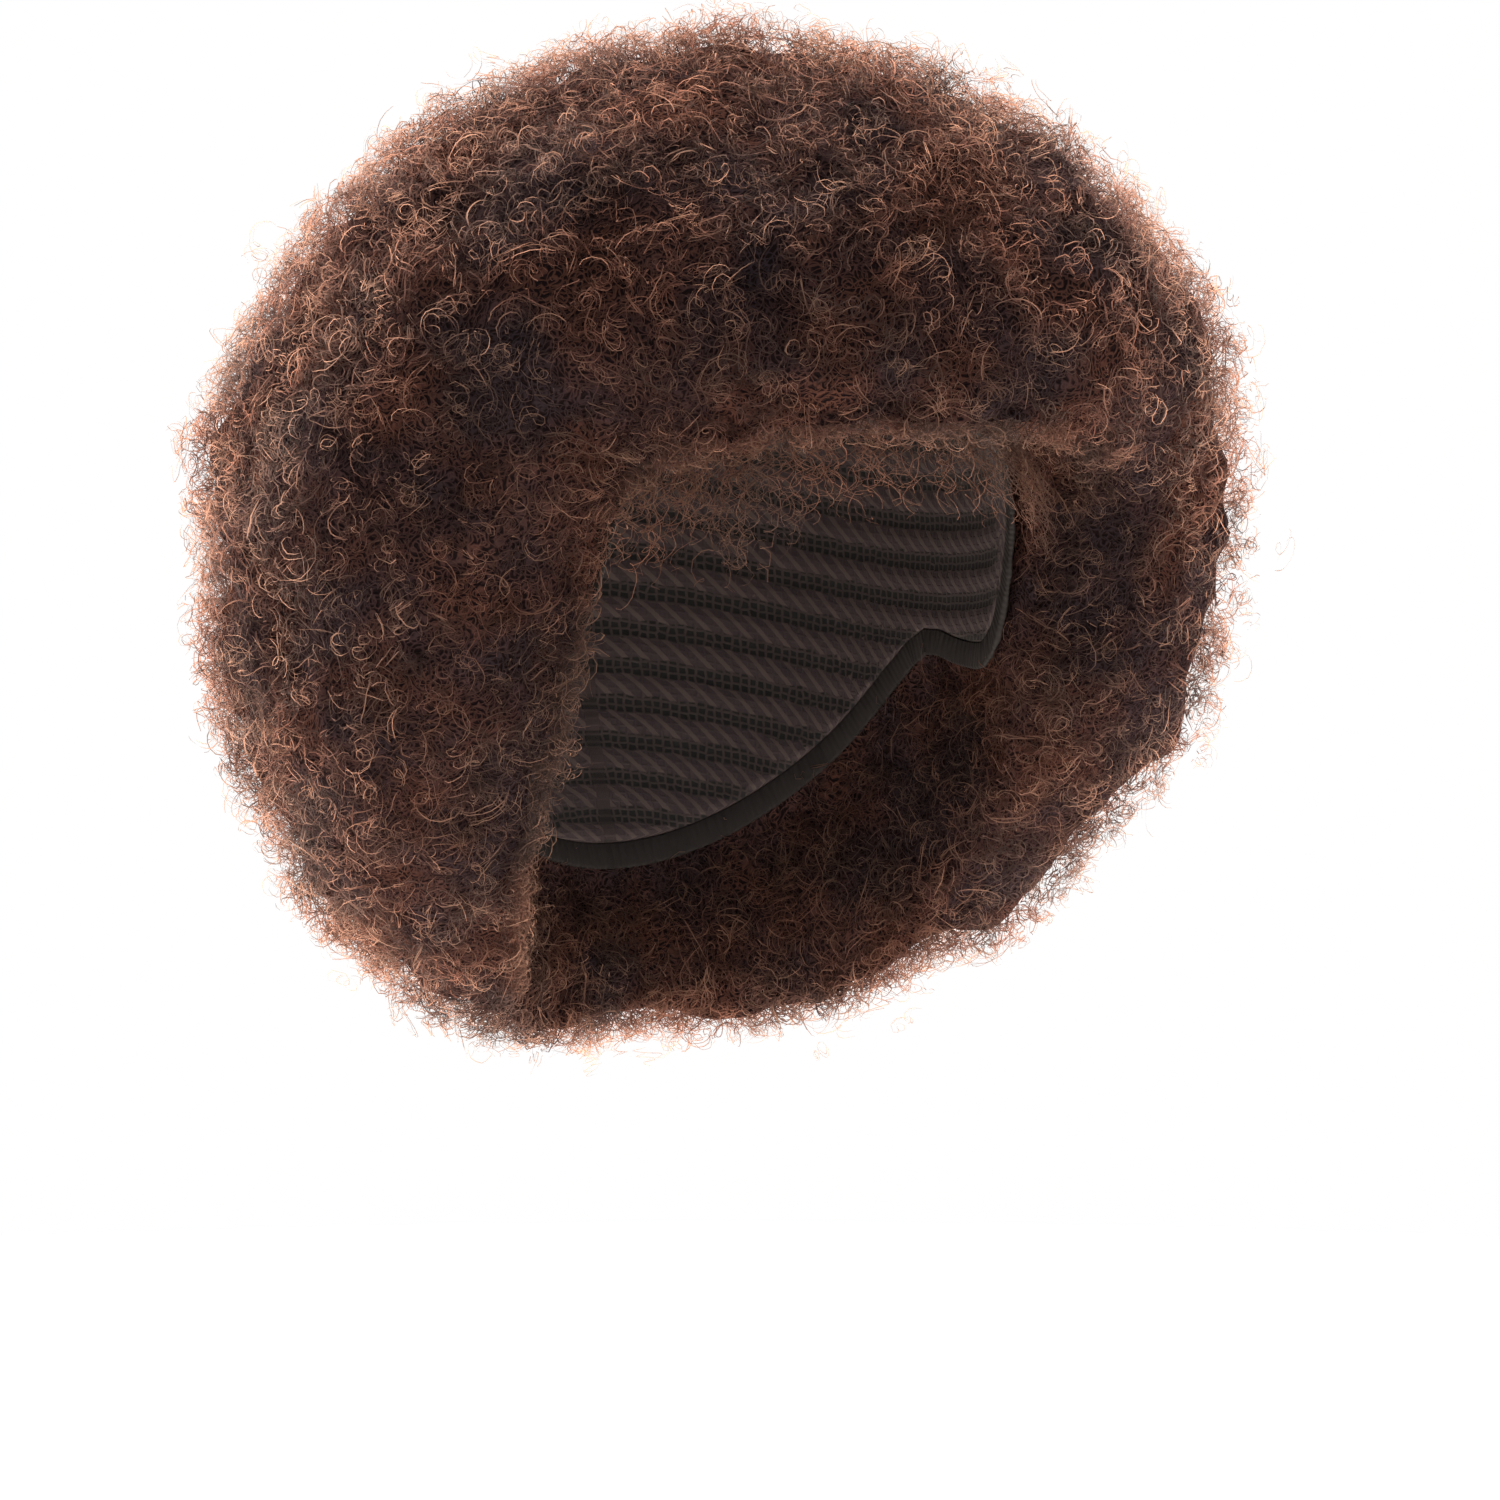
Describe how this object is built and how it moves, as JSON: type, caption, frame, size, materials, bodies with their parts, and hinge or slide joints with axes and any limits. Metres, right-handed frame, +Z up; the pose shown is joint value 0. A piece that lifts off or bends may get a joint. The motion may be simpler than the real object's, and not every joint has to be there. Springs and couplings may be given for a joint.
{
  "type": "afro wig",
  "caption": "Large round afro wig of tight dark brown curls on a hollow stretch cap, open at the face and neck, with loose curls over the forehead",
  "frame": {"origin": "The spot of the cap's lining that rests on the crown of the head", "axes": "The wearer faces -Y, the wearer's left is +X and +Z is up"},
  "size_m": [0.3103, 0.3102, 0.3122],
  "materials": {
    "stretch_net": "matte",
    "elastic_tape": "matte",
    "hair_fibre": "matte"
  },
  "bodies": {
    "root": {"wig_cap": "stretch_net", "edge_binding": "elastic_tape", "afro_hair": "hair_fibre", "forehead_fringe": "hair_fibre"}
  },
  "joints": []
}
